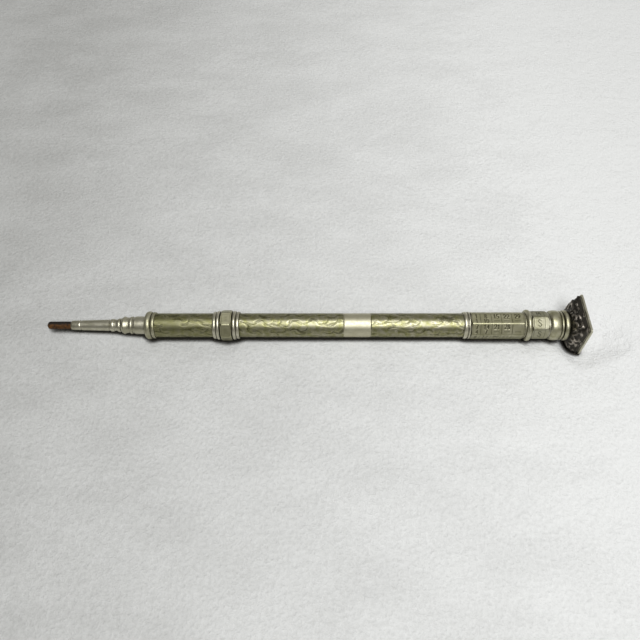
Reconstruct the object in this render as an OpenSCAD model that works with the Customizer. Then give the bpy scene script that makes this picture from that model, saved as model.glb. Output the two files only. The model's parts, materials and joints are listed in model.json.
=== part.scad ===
// Antique propelling pencil in nickel silver: a nozzle that slides out of an engraved
// barrel on a seven-sided slider, a twist-fed lead, a seven-sided perpetual calendar
// with a turning weekday ring, and a pull-off seal that closes a magazine of spare leads.
//
// Stations are measured along +X from the mouth of the barrel, with the lead towards -X.
// Angles round the axis start at the front (-Y) and rise towards the top (+Z).
// The finished parts are shifted so that the origin is the centre of the bounding box.

/* [Barrel] */
// Outside diameter of the engraved tube
barrel_d = 6.04; // [6.00:0.01:6.08]
// Wall of the engraved tube
barrel_wall = 0.25; // [0.24:0.01:0.26]
// Mouth of the barrel to the front of the rear collar
barrel_len = 78.7; // [78.5:0.1:82]
// Mouth of the barrel to the plain name band
band_from_mouth = 49.2; // [48.5:0.1:56]
// Length of the plain name band
band_len = 6.7; // [4:0.1:12]
// Depth of the band below the engraved surface
band_depth = 0.04; // [0.02:0.01:0.06]

/* [Nozzle] */
// How far the nozzle slides, from writing to closed
travel = 24.8; // [20:0.1:24.8]
// Diameter of the stem that slides through the mouth
stem_d = 4.48; // [4.44:0.01:4.5]
// Length of the split clutch outside the nose ring
clutch_show = 5.85; // [5:0.05:6.5]
// Outside diameter of the split clutch
clutch_d = 1.9; // [1.86:0.01:1.94]
// Diameter of the lead
lead_d = 1.1; // [1.04:0.02:1.1]
// How far the lead stands out of the clutch
lead_show = 0.35; // [0.1:0.05:1]

/* [Slider] */
// Mouth of the barrel to the front of the slider
slider_from_mouth = 16.85; // [15:0.1:16.9]
// Across the corners of the seven-sided nut
nut_d = 7.94; // [7.9:0.02:8.2]
// Direction of one corner of the nut
nut_angle = 58.5; // [0:0.5:360]

/* [Calendar] */
// Number of sides: one for each day of the week
days = 7; // [7]
// Length of the calendar sleeve
calendar_len = 13.1; // [12:0.1:14]
// Across the corners of the calendar sleeve
calendar_d = 7.02; // [6.9:0.02:7.1]
// Direction of one corner of the calendar sleeve
calendar_angle = 63; // [0:1:360]
// Length of the weekday ring
weekday_len = 4.1; // [4:0.02:4.3]
// Across the corners of the weekday ring
weekday_d = 7.18; // [7.1:0.02:7.3]
// Direction of one corner of the weekday ring
weekday_angle = 92; // [0:1:360]

/* [Seal] */
// Side of the square seal
seal_side = 10.9; // [10.5:0.1:11.5]
// Length of the flared head, neck to bezel
flare_len = 2.9; // [2.8:0.1:3.2]
// Thickness of the bezel plate
bezel_t = 0.75; // [0.7:0.05:0.9]
// How far the stone stands out of the bezel
stone_proud = 0.1; // [0.05:0.05:0.2]

/* [Fits] */
// Radial gap between parts that move on each other
run_gap = 0.05; // [0.04:0.01:0.06]
// Radial gap between parts that are soldered or pressed together
fix_gap = 0.01; // [0.01:0.005:0.015]

/* [Feed] */
// Lead fed for one turn of the nozzle
pitch = 3; // [2.8:0.1:3.2]
// Radius of the coil's wire
wire_r = 0.28; // [0.25:0.01:0.3]

/* [Hidden] */

round_fn = 96;
cut = 1;             // how far a cutting shape runs past the face it cuts
facet = 360 / days;

// Radii
barrel_r = barrel_d / 2;
barrel_bore = barrel_r - barrel_wall;
stem_r = stem_d / 2;
carriage_r = barrel_bore - run_gap;
carriage_bore = carriage_r - 0.28;
bush_bore = stem_r + run_gap;
coil_r = carriage_bore - wire_r - 0.06;
guide_r = 1.4;
guide_bore = 0.75;
lead_r = lead_d / 2;
lead_bore = lead_r + 0.02;
cup_r = 0.68;
nozzle_bore = cup_r + 0.04;
rod_r = 0.5;
magazine_r = barrel_bore - 0.02;
magazine_bore = magazine_r - 0.4;
sleeve_bore = magazine_r + 0.02;
clutch_r = clutch_d / 2;

// Stations along the nozzle, from the mouth towards the point
stem_show = 2.7;
beads_len = 6.6;
taper_len = 7.25;
nose_len = travel - stem_show - beads_len - taper_len - clutch_show;
beads_x = -stem_show - beads_len;
taper_x = beads_x - taper_len;
nose_x = taper_x - nose_len;
clutch_x = nose_x - clutch_show;
lead_x = clutch_x - lead_show;
socket_len = 1.5;    // how far one nozzle piece plugs into the next
taper_r = 1.25;      // radius at the small end of the tapered tube
root_r = 1.44;       // radius at its large end
nose_r = 1.05;       // radius at the front of the nose ring

// Stations of the carriage, which slides inside the barrel
mouth_spigot = 3;    // back of the mouth ring's inner guide
carriage_x = mouth_spigot + 0.2;
bush_flange = 0.5;
bush_len = 2.7;
stem_flange_x = carriage_x + bush_len + 0.1;
stem_flange_len = 0.8;
carriage_end = 47.5;
end_ring_len = 2;
coil_x = stem_flange_x + stem_flange_len + wire_r + 0.15;
coil_end = carriage_end - end_ring_len - wire_r - 0.05;
guide_x = -1.2;
guide_end = carriage_end - 1;
slot_x = 8;          // ends of the follower's slot in the guide tube
slot_end = 43;

// Stations of the feed
follower_x = 22.85;
follower_len = 1.7;
follower_w = 0.8;
cup_x = 2;
cup_len = 4;
lead_back = cup_x + 2.18;

// Stations of the slider
ferrule_len = 1.7;
nut_len = 2.75;
nut_x = slider_from_mouth + ferrule_len + 0.2;
rear_ferrule_x = nut_x + nut_len + 0.15;
slider_end = rear_ferrule_x + ferrule_len;
slider_bore = barrel_r + run_gap;
hub_r = slider_bore + 0.15;
nut_r = nut_d / 2;
nut_flat_r = nut_r * cos(facet / 2);
lug_angle = nut_angle + 180;
lug_x = nut_x + nut_len / 2;
lug_len = 3;
lug_w = 1.4;
lug_top = hub_r + 0.06;
screw_r = 0.45;
screw_head_r = 0.8;

// Stations of the calendar and the cap
collar_len = 1.7;
calendar_x = barrel_len + collar_len;
stop_x = calendar_x + calendar_len;
stop_len = 1.65;
weekday_x = stop_x + stop_len + 0.05;
weekday_end = weekday_x + weekday_len;
lip_x = weekday_end + 0.05;
lip_len = 0.28;
magazine_x = barrel_len - 4.45;
finial_x = lip_x + lip_len + 0.05;
plug_len = 3.8;
neck_x = finial_x + 4.62;
finial_end = neck_x + 0.8;
bezel_x = neck_x + flare_len;
stone_end = bezel_x + bezel_t + stone_proud;
stone_side = seal_side - 1.5;
stone_t = 0.5;
seal_r = seal_side / sqrt(2);

// Centre of the bounding box
mid_x = (lead_x + stone_end) / 2;

// Half-round bead (or hollow, when h is negative) on a turned profile
function bead(x0, x1, r, h, steps = 10) = [
  for (i = [0:steps])
    [x0 + (x1 - x0) * (1 - cos(180 * i / steps)) / 2, r + h * sin(180 * i / steps)]
];

// Solid of revolution about the X axis from a closed outline of [station, radius]
module turned(outline)
  rotate([0, 90, 0])
    rotate_extrude($fn = round_fn)
      polygon([for (p = outline) [p[1], p[0]]]);

module tube(x0, x1, r_out, r_in)
  turned([[x0, r_in], [x0, r_out], [x1, r_out], [x1, r_in]]);

module rod(x0, x1, r)
  translate([x0, 0, 0]) rotate([0, 90, 0]) cylinder(h = x1 - x0, r = r, $fn = round_fn);

// Turns what points up (+Z) to a direction round the axis
module toward(angle) rotate([90 - angle, 0, 0]) children();

// Prism with one side for each weekday and a corner at the given direction
module seven_sided(x0, x1, r, angle)
  toward(angle)
    translate([x1, 0, 0]) rotate([0, -90, 0]) cylinder(h = x1 - x0, r = r, $fn = days);

// Square block across the axis
module square_block(x0, x1, side)
  translate([x0, -side / 2, -side / 2]) cube([x1 - x0, side, side]);

// Upright slot with round ends, from one height to another
module round_slot(x0, x1, w, z0, z1) {
  translate([x0 + w / 2, -w / 2, z0]) cube([x1 - x0 - w, w, z1 - z0]);
  for (x = [x0 + w / 2, x1 - w / 2])
    translate([x, 0, z0]) cylinder(h = z1 - z0, r = w / 2, $fn = 48);
}

// ---- Barrel ----

barrel_front = 0.9;
barrel_back = barrel_len + 1.3;

module barrel()
  color("DarkKhaki")
    difference() {
      turned([
        [barrel_front, barrel_bore],
        [barrel_front, barrel_r],
        [band_from_mouth, barrel_r],
        [band_from_mouth, barrel_r - band_depth],
        [band_from_mouth + band_len, barrel_r - band_depth],
        [band_from_mouth + band_len, barrel_r],
        [barrel_back, barrel_r],
        [barrel_back, barrel_bore]
      ]);
      toward(lug_angle)
        round_slot(lug_x - lug_len / 2 - 0.1, lug_x + lug_len / 2 + travel + 0.1,
                   lug_w + 2 * run_gap, barrel_bore - 0.5, barrel_r + cut);
    }

module mouth_ring()
  color("Tan")
    turned(concat(
      [[0.15, bush_bore], [0, bush_bore + 0.15], [0, barrel_r - 0.3]],
      bead(0.02, 1.45, barrel_r + 0.05, 0.44),
      bead(1.55, 2.35, barrel_r + 0.12, 0.15),
      [
        [2.4, barrel_r + fix_gap],
        [barrel_front - fix_gap, barrel_r + fix_gap],
        [barrel_front - fix_gap, barrel_bore - fix_gap],
        [mouth_spigot, barrel_bore - fix_gap],
        [mouth_spigot, bush_bore]
      ]
    ));

module rear_collar()
  color("Tan")
    turned(concat(
      [[barrel_len, barrel_r + fix_gap]],
      bead(barrel_len, barrel_len + 0.95, barrel_r + 0.12, 0.24),
      bead(barrel_len + 1.1, calendar_x - 0.12, barrel_r + 0.14, 0.24),
      [
        [calendar_x - fix_gap, sleeve_bore],
        [barrel_back + fix_gap, sleeve_bore],
        [barrel_back + fix_gap, barrel_r + fix_gap]
      ]
    ));

// ---- Calendar and magazine ----

module calendar_sleeve()
  color("DarkKhaki")
    difference() {
      intersection() {
        seven_sided(calendar_x, stop_x - fix_gap, calendar_d / 2, calendar_angle);
        turned([
          [calendar_x, 0], [calendar_x, calendar_d / 2 - 0.3],
          [calendar_x + 0.45, calendar_d / 2 + 0.05], [stop_x, calendar_d / 2 + 0.05],
          [stop_x, 0]
        ]);
      }
      rod(calendar_x - cut, stop_x + cut, sleeve_bore);
    }

module stop_ring()
  color("Tan")
    turned(concat(
      [[stop_x, sleeve_bore], [stop_x, barrel_r + 0.2], [stop_x + 0.3, barrel_r + 0.2]],
      bead(stop_x + 0.32, stop_x + stop_len, barrel_r + 0.22, 0.67),
      [[stop_x + stop_len, sleeve_bore]]
    ));

spring_x = weekday_x + 1.8;
spring_w = 1;
spring_depth = 0.28;

module magazine_tube()
  color("BurlyWood")
    turned([
      [magazine_x, magazine_bore],
      [magazine_x, magazine_r],
      [spring_x, magazine_r],
      [spring_x, magazine_r - spring_depth],
      [spring_x + spring_w, magazine_r - spring_depth],
      [spring_x + spring_w, magazine_r],
      [lip_x, magazine_r],
      [lip_x, magazine_r + 0.37],
      [lip_x + lip_len, magazine_r + 0.37],
      [lip_x + lip_len, magazine_bore]
    ]);

module magazine_plug()
  color("BurlyWood")
    turned([
      [magazine_x - 0.85, 0],
      [magazine_x - 0.85, magazine_r],
      [magazine_x - fix_gap, magazine_r],
      [magazine_x - fix_gap, magazine_bore - fix_gap],
      [magazine_x + 1.2, magazine_bore - fix_gap],
      [magazine_x + 1.2, 0]
    ]);

// Split ring that rubs in the weekday ring's bore and holds it where it is set
module ring_spring()
  color("SteelBlue")
    difference() {
      tube(spring_x + 0.05, spring_x + spring_w - 0.05,
           magazine_r + 0.03, magazine_r - spring_depth + 0.02);
      toward(270) translate([spring_x - cut, -0.5, 0]) cube([spring_w + 2 * cut, 1, 5]);
    }

spare_len = 19.5;
spare_ring = 0.9;    // distance of the spare leads from the axis

module spare_leads()
  color("DimGray")
    for (i = [0:2])
      rotate([120 * i, 0, 0])
        translate([0, 0, spare_ring])
          rod(magazine_x + 1.3, magazine_x + 1.3 + spare_len, lead_r);

module weekday_ring()
  color("DarkKhaki")
    difference() {
      intersection() {
        seven_sided(weekday_x, weekday_end, weekday_d / 2, weekday_angle);
        turned([
          [weekday_x, 0], [weekday_x, weekday_d / 2 - 0.2],
          [weekday_x + 0.3, weekday_d / 2 + 0.05],
          [weekday_end - 0.85, weekday_d / 2 + 0.05],
          [weekday_end, weekday_d / 2 - 0.35], [weekday_end, 0]
        ]);
      }
      rod(weekday_x - cut, weekday_end + cut, magazine_r + run_gap);
    }

// ---- Cap ----

plug_r = magazine_bore - run_gap;
neck_r = 3.52;
seal_screw_r = 0.8;

module finial()
  color("Tan")
    turned(concat(
      [
        [finial_x - plug_len, seal_screw_r + fix_gap],
        [finial_x - plug_len, plug_r - 0.2],
        [finial_x - plug_len + 0.2, plug_r],
        [finial_x, plug_r],
        [finial_x, neck_r - 0.34],
        [finial_x + 0.25, neck_r - 0.1]
      ],
      bead(finial_x + 0.3, finial_x + 2.5, neck_r - 0.05, 0.25),
      bead(finial_x + 2.62, finial_x + 3.2, neck_r - 0.12, 0.2),
      [[finial_x + 3.35, neck_r - 0.22]],
      bead(finial_x + 3.45, neck_x - 0.02, neck_r - 0.06, 0.3),
      [
        [finial_end, neck_r - 0.2],
        [finial_end, seal_screw_r + fix_gap]
      ]
    ));

// Half diagonals of the flare, from its neck to the bezel
flare_ridge = [
  [0, neck_r + 0.03], [0.17, 0.66 * seal_r], [0.45, 0.83 * seal_r],
  [0.73, 0.93 * seal_r], [1, 0.985 * seal_r]
];
slice_t = 0.02;
head_x = bezel_x - 1.2;

module seal_flare()
  color("DimGray")
    difference() {
      hull()
        for (p = flare_ridge) {
          x = neck_x + p[0] * (flare_len - slice_t - fix_gap);
          square_block(x, x + slice_t, p[1] * sqrt(2));
        }
      rod(neck_x - cut, finial_end + fix_gap, neck_r + fix_gap);
      rod(neck_x, bezel_x + cut, seal_screw_r + fix_gap);
      rod(head_x, bezel_x + cut, 1.6);
    }

module seal_bezel()
  color("Silver")
    difference() {
      square_block(bezel_x, bezel_x + bezel_t, seal_side);
      square_block(bezel_x + bezel_t + stone_proud - stone_t - fix_gap,
                   bezel_x + bezel_t + cut, stone_side + 2 * fix_gap);
    }

module seal_stone()
  color("DarkSlateGray")
    square_block(stone_end - stone_t, stone_end, stone_side);

module seal_screw()
  color("Silver")
    difference() {
      turned([
        [finial_x - 2, 0], [finial_x - 2, seal_screw_r], [head_x + fix_gap, seal_screw_r],
        [head_x + fix_gap, 1.55], [head_x + 0.8, 1.55], [head_x + 0.8, 0]
      ]);
      translate([head_x + 0.5, -2, -0.2]) cube([1, 4, 0.4]);
    }

// ---- Slider ----

module slider_nut()
  color("Tan")
    difference() {
      union() {
        intersection() {
          seven_sided(nut_x, nut_x + nut_len, nut_r, nut_angle);
          turned([
            [nut_x, 0], [nut_x, nut_r - 0.34], [nut_x + 0.3, nut_r - 0.08],
            [nut_x + 0.6, nut_r + 0.02], [nut_x + nut_len - 0.6, nut_r + 0.02],
            [nut_x + nut_len - 0.3, nut_r - 0.08], [nut_x + nut_len, nut_r - 0.34],
            [nut_x + nut_len, 0]
          ]);
        }
        rod(slider_from_mouth + 0.1, slider_end - 0.1, hub_r);
      }
      rod(slider_from_mouth - cut, slider_end + cut, slider_bore);
      toward(lug_angle) {
        round_slot(lug_x - lug_len / 2 - fix_gap, lug_x + lug_len / 2 + fix_gap,
                   lug_w + 2 * fix_gap, slider_bore - 0.2, lug_top + fix_gap);
        translate([lug_x, 0, 0]) {
          cylinder(h = nut_r, r = screw_r + fix_gap, $fn = 48);
          translate([0, 0, lug_top + fix_gap])
            cylinder(h = nut_r, r = screw_head_r + fix_gap, $fn = 48);
        }
      }
    }

// Ferrule of two beads: a low one outside and a higher one next to the nut
module slider_ferrule(outer_x, inner_x) {
  low = bead(outer_x, outer_x + (inner_x - outer_x) * 0.46, barrel_r + 0.22, 0.18);
  high = bead(outer_x + (inner_x - outer_x) * 0.52, inner_x, barrel_r + 0.3, 0.28);
  turned(concat(
    [[outer_x, hub_r + fix_gap]], low, high, [[inner_x, hub_r + fix_gap]]
  ));
}

module slider_front_ferrule()
  color("Tan") slider_ferrule(slider_from_mouth, slider_from_mouth + ferrule_len);

module slider_rear_ferrule()
  color("Tan") slider_ferrule(slider_end, rear_ferrule_x);

module slider_lug()
  color("BurlyWood")
    difference() {
      toward(lug_angle)
        round_slot(lug_x - lug_len / 2, lug_x + lug_len / 2, lug_w,
                   carriage_r - 0.4, lug_top);
      rod(lug_x - lug_len, lug_x + lug_len, carriage_r + fix_gap);
      toward(lug_angle)
        translate([lug_x, 0, 0]) cylinder(h = nut_r, r = screw_r + fix_gap, $fn = 48);
    }

module slider_screw()
  color("Silver")
    toward(lug_angle)
      translate([lug_x, 0, 0])
        difference() {
          union() {
            translate([0, 0, carriage_r + 0.05])
              cylinder(h = nut_flat_r - carriage_r - 0.2, r = screw_r, $fn = 48);
            translate([0, 0, lug_top + 2 * fix_gap])
              cylinder(h = nut_flat_r - lug_top - 0.03, r = screw_head_r, $fn = 48);
          }
          translate([-1, -0.09, nut_flat_r - 0.13]) cube([2, 0.18, 1]);
        }

module carriage_tube()
  color("Gold")
    tube(carriage_x + bush_flange + fix_gap, carriage_end, carriage_r, carriage_bore);

module carriage_bush()
  color("Goldenrod")
    turned([
      [carriage_x, bush_bore],
      [carriage_x, carriage_r],
      [carriage_x + bush_flange, carriage_r],
      [carriage_x + bush_flange, carriage_bore - fix_gap],
      [carriage_x + bush_len, carriage_bore - fix_gap],
      [carriage_x + bush_len, bush_bore]
    ]);

module carriage_end_ring()
  color("Goldenrod")
    tube(carriage_end - end_ring_len, carriage_end,
         carriage_bore - fix_gap, guide_r + run_gap);

// Wire coil: the follower runs in the gap between its turns
coil_step = 20;
wire_sides = 6;

function coil_angle(x) = 360 * (x - follower_x + pitch / 2) / pitch;

function coil_point(a, b) =
  let (r = coil_r + wire_r * cos(b))
  [follower_x - pitch / 2 + pitch * a / 360 + wire_r * sin(b), -r * sin(a), r * cos(a)];

module propelling_coil() {
  first = coil_angle(coil_x);
  rings = floor((coil_angle(coil_end) - first) / coil_step);
  points = [
    for (i = [0:rings])
      for (j = [0:wire_sides - 1])
        coil_point(first + i * coil_step, 360 * j / wire_sides)
  ];
  sides = [
    for (i = [0:rings - 1])
      for (j = [0:wire_sides - 1])
        let (k = (j + 1) % wire_sides)
        [i * wire_sides + j, (i + 1) * wire_sides + j,
         (i + 1) * wire_sides + k, i * wire_sides + k]
  ];
  front = [for (j = [0:wire_sides - 1]) j];
  back = [for (j = [wire_sides - 1:-1:0]) rings * wire_sides + j];
  color("SlateGray") polyhedron(points = points, faces = concat(sides, [front, back]));
}

// ---- Nozzle ----

// Turned beads, largest next to the stem and never wider than it
function bead_row() = concat(
  [[beads_x, root_r - 0.08], [beads_x + 0.12, root_r - 0.08]],
  bead(beads_x + 0.25, beads_x + 1.25, root_r + 0.02, 0.15),
  [[beads_x + 1.7, root_r + 0.01]],
  bead(beads_x + 2.05, beads_x + 2.95, root_r + 0.06, 0.24, 8),
  [
    [beads_x + 3.05, stem_r - 0.45],
    [beads_x + 3.6, stem_r - 0.08],
    [beads_x + 3.78, stem_r - 0.02],
    [beads_x + 4.0, stem_r - 0.1],
    [beads_x + 4.4, stem_r - 0.24],
    [beads_x + 4.95, stem_r - 0.29],
    [beads_x + 5.2, stem_r - 0.25]
  ],
  bead(beads_x + 5.25, beads_x + 5.95, stem_r - 0.2, 0.18, 8),
  [
    [beads_x + 6.1, stem_r - 0.2],
    [beads_x + 6.25, stem_r - 0.16],
    [beads_x + 6.6, stem_r],
    [stem_flange_x, stem_r]
  ]
);

module nozzle_body()
  color("Wheat")
    turned(concat(
      [[beads_x - socket_len, nozzle_bore], [beads_x - socket_len, 1.08],
       [beads_x, 1.08]],
      bead_row(),
      [
        [stem_flange_x, carriage_bore - run_gap],
        [stem_flange_x + stem_flange_len, carriage_bore - run_gap],
        [stem_flange_x + stem_flange_len, guide_r + fix_gap],
        [guide_x - fix_gap, guide_r + fix_gap],
        [guide_x - fix_gap, nozzle_bore]
      ]
    ));

seam_depth = 0.09;   // depth of the groove where the nose ring meets the tube

module nozzle_tube()
  color("Wheat")
    turned([
      [taper_x - 1.1, nozzle_bore], [taper_x - 1.1, 1],
      [taper_x, 1], [taper_x, taper_r - seam_depth], [taper_x + 0.2, taper_r],
      [beads_x - 0.1, root_r], [beads_x - fix_gap, root_r - 0.08],
      [beads_x - fix_gap, 1.08 + fix_gap],
      [beads_x - socket_len - fix_gap, 1.08 + fix_gap],
      [beads_x - socket_len - fix_gap, nozzle_bore]
    ]);

module nose_ring()
  color("Wheat")
    turned([
      [nose_x, clutch_r + fix_gap],
      for (a = [0:15:75])
        [nose_x + 0.7 * (1 - cos(a)), nose_r - 0.02 + 0.16 * sin(a)],
      [nose_x + 1.2, nose_r + 0.16],
      [taper_x - 0.25, taper_r],
      [taper_x - fix_gap, taper_r - seam_depth],
      [taper_x - fix_gap, 1 + fix_gap],
      [taper_x - 1.1 - fix_gap, 1 + fix_gap],
      [taper_x - 1.1 - fix_gap, clutch_r + fix_gap]
    ]);

split_w = 0.16;
split_len = 5;
split_angle = 130;   // direction of the clutch's slit

module lead_clutch()
  color("SaddleBrown")
    difference() {
      turned([
        [clutch_x, lead_bore], [clutch_x, clutch_r - 0.22],
        [clutch_x + 0.12, clutch_r - 0.09], [clutch_x + 0.4, clutch_r],
        [taper_x - 1.2, clutch_r], [taper_x - 1.2, lead_bore]
      ]);
      toward(split_angle)
        translate([clutch_x - cut, -split_w / 2, -cut])
          cube([split_len + cut, split_w, 2 * cut]);
    }

module guide_tube()
  color("Gold")
    difference() {
      tube(guide_x, guide_end, guide_r, guide_bore);
      translate([slot_x, -follower_w / 2 - run_gap, 0])
        cube([slot_end - slot_x, follower_w + 2 * run_gap, guide_r + cut]);
    }

// ---- Feed ----

module pusher_rod()
  color("Silver") rod(cup_x + 2.62, follower_x + follower_len / 2 + 0.2, rod_r);

module follower()
  color("Goldenrod")
    difference() {
      union() {
        rod(follower_x - follower_len / 2, follower_x + follower_len / 2, guide_bore - run_gap);
        translate([follower_x - follower_len / 2, -follower_w / 2, 0])
          cube([follower_len, follower_w, coil_r + 0.15]);
      }
      rod(follower_x - follower_len, follower_x + follower_len, rod_r + fix_gap);
    }

module lead_cup()
  color("Gold")
    turned([
      [cup_x, lead_r + fix_gap], [cup_x, cup_r],
      [cup_x + cup_len, cup_r], [cup_x + cup_len, rod_r + fix_gap],
      [cup_x + 2.6, rod_r + fix_gap], [cup_x + 2.6, 0],
      [cup_x + 2.2, 0], [cup_x + 2.2, lead_r + fix_gap]
    ]);

module lead()
  color("DarkSlateGray")
    turned([
      [lead_x, 0], [lead_x, 0.2], [lead_x + 0.1, 0.36], [lead_x + 0.35, lead_r],
      [lead_back, lead_r], [lead_back, 0]
    ]);

// ---- Nodes ----

module in_place() translate([-mid_x, 0, 0]) children();

in_place() barrel();
in_place() mouth_ring();
in_place() rear_collar();
in_place() calendar_sleeve();
in_place() stop_ring();
in_place() magazine_tube();
in_place() magazine_plug();
in_place() ring_spring();
in_place() spare_leads();
in_place() weekday_ring();
in_place() finial();
in_place() seal_flare();
in_place() seal_bezel();
in_place() seal_stone();
in_place() seal_screw();
in_place() slider_nut();
in_place() slider_front_ferrule();
in_place() slider_rear_ferrule();
in_place() slider_lug();
in_place() slider_screw();
in_place() carriage_tube();
in_place() carriage_bush();
in_place() carriage_end_ring();
in_place() propelling_coil();
in_place() nozzle_body();
in_place() nozzle_tube();
in_place() nose_ring();
in_place() lead_clutch();
in_place() guide_tube();
in_place() pusher_rod();
in_place() follower();
in_place() lead_cup();
in_place() lead();
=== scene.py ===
"""An antique propelling pencil in nickel silver, lying on a pale cloth.

The engraved, lettered and chased surfaces are carved here as height maps over sheets that
are wrapped round the pencil; the turned parts keep their CAD shape. All lengths are in
millimetres until a mesh is made. u runs along the pencil and v runs round it.
"""

import json
import math

import bpy
import numpy as np
from mathutils import Matrix, Vector

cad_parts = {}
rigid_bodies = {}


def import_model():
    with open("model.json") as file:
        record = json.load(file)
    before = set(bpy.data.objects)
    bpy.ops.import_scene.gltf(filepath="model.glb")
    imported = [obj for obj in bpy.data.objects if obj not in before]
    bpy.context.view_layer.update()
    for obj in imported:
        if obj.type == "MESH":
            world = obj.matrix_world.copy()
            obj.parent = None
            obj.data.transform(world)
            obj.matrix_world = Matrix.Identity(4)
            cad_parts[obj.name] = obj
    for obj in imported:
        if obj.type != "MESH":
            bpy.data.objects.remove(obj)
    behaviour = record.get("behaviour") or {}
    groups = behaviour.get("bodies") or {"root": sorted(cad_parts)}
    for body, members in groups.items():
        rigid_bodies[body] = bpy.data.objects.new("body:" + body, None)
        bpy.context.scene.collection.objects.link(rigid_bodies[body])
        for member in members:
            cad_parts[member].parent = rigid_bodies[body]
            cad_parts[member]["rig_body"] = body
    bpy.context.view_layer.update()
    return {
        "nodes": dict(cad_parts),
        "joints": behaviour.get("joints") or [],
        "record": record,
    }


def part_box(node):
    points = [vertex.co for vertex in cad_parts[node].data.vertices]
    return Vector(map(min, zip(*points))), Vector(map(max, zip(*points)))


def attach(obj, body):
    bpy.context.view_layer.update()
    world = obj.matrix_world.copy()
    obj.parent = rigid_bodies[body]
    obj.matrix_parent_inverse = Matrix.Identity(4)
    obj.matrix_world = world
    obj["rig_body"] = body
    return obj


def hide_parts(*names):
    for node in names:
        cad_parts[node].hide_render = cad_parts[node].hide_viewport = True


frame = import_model()
NODES = frame["nodes"]
MM = 0.001
DAYS = 7
FACET = 2 * math.pi / DAYS


# ---- Places taken from the CAD frame ----


def span(node):
    """First and last station of a node, in millimetres."""
    low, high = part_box(node)
    return low.x / MM, high.x / MM


def reach(node):
    """Largest height of a node above the axis, in millimetres."""
    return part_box(node)[1].z / MM


def radii(node):
    """Distances of a node's nearest and farthest points from the axis, to a micrometre."""
    away = [math.hypot(vertex.co.y, vertex.co.z) for vertex in NODES[node].data.vertices]
    return round(min(away) / MM, 3), round(max(away) / MM, 3)


# ---- Height maps ----


class Relief:
    """A height map over a flat sheet, made of tapered strokes."""

    def __init__(self, length, width, step, wraps=False):
        self.cols = int(round(width / step))
        self.nu = int(round(length / step)) + 1
        self.nv = self.cols + (0 if wraps else 1)
        self.du = length / (self.nu - 1)
        self.dv = width / self.cols
        self.wraps = wraps
        self.marks = []

    def stroke(self, points, half, height, taper=1.0):
        """A stroke of a half width and height; taper 1 thins both ends to nothing."""
        points = np.asarray(points, float)
        run = np.concatenate(
            [[0], np.cumsum(np.linalg.norm(np.diff(points, axis=0), axis=1))]
        )
        count = max(3, int(run[-1] / (0.6 * self.du)) + 1)
        along = np.linspace(0, run[-1], count)
        u = np.interp(along, run, points[:, 0])
        v = np.interp(along, run, points[:, 1])
        t = along / run[-1]
        fade = 1 - taper * (1 - np.clip(4 * np.minimum(t, 1 - t), 0, 1))
        width = half * (0.3 + 0.7 * fade)
        self.marks.append(np.stack([u, v, width, height * fade], 1))

    def heights(self, round_top=False):
        """The highest stroke at each point of the sheet."""
        out = np.zeros((self.nu, self.nv))
        marks = np.concatenate(self.marks)
        near_i = np.round(marks[:, 0] / self.du).astype(int)
        near_j = np.round(marks[:, 1] / self.dv).astype(int)
        extent = int(math.ceil(marks[:, 2].max() / min(self.du, self.dv)))
        for a in range(-extent, extent + 1):
            for b in range(-extent, extent + 1):
                i = near_i + a
                j = near_j + b
                away = np.hypot(i * self.du - marks[:, 0], j * self.dv - marks[:, 1])
                k = np.clip(1 - away / marks[:, 2], 0, 1)
                if round_top:
                    k = np.sqrt(1 - (1 - k) ** 2)
                if self.wraps:
                    j = j % self.nv
                hit = (k > 0) & (i >= 0) & (i < self.nu) & (j >= 0) & (j < self.nv)
                np.maximum.at(out, (i[hit], j[hit]), (marks[:, 3] * k)[hit])
        return out


def arc(u, v, heading, length, turn, tighten=1.0, count=24):
    """A line that starts at u, v and turns from its heading, faster at its end if tightened."""
    t = np.linspace(0, 1, count)
    angle = heading + turn * t**tighten
    step = length / (count - 1)
    x = u + np.concatenate([[0], np.cumsum(np.cos(angle[:-1]))]) * step
    y = v + np.concatenate([[0], np.cumsum(np.sin(angle[:-1]))]) * step
    return np.stack([x, y], 1)


# ---- Meshes ----


def mesh_object(name, verts, faces, body, slot, *materials):
    """A piece in the row frame that rides on a body, from vertices in millimetres."""
    mesh = bpy.data.meshes.new(name)
    mesh.from_pydata((np.asarray(verts) * MM).tolist(), [], faces)
    mesh.validate()
    for material in materials:
        mesh.materials.append(material)
    piece = bpy.data.objects.new(name, mesh)
    bpy.context.scene.collection.objects.link(piece)
    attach(piece, body)
    return piece


def around(x, y, z):
    """Points from a station, a distance towards the front and a height, as one array."""
    return np.stack(np.broadcast_arrays(x, -y, z), -1)


def grid_faces(rows, cols, closed=True):
    """Quads of a grid of points. A closed grid meets itself along both of its directions."""
    open_edge = 0 if closed else 1
    i, j = np.meshgrid(np.arange(rows - open_edge), np.arange(cols - open_edge), indexing="ij")
    i2 = (i + 1) % rows
    j2 = (j + 1) % cols
    quads = np.stack([i * cols + j, i2 * cols + j, i2 * cols + j2, i * cols + j2], -1)
    return quads.reshape(-1, 4).tolist()


def closed_shell(outer, bore):
    """Outer points [rows, cols, 3] with end faces and a round bore added: a closed ring."""
    front = outer[0].copy()
    back = outer[-1].copy()
    for edge in (front, back):
        away = np.linalg.norm(edge[:, 1:], axis=1, keepdims=True)
        edge[:, 1:] *= bore / away
    grid = np.concatenate([front[None], outer, back[None]])
    rows, cols = grid.shape[:2]
    return grid.reshape(-1, 3), grid_faces(rows, cols)


def store(piece, name, values):
    """Keeps one number for each vertex, for the materials to read."""
    layer = piece.data.attributes.new(name, "FLOAT", "POINT")
    layer.data.foreach_set("value", np.asarray(values, np.float32).ravel())


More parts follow.
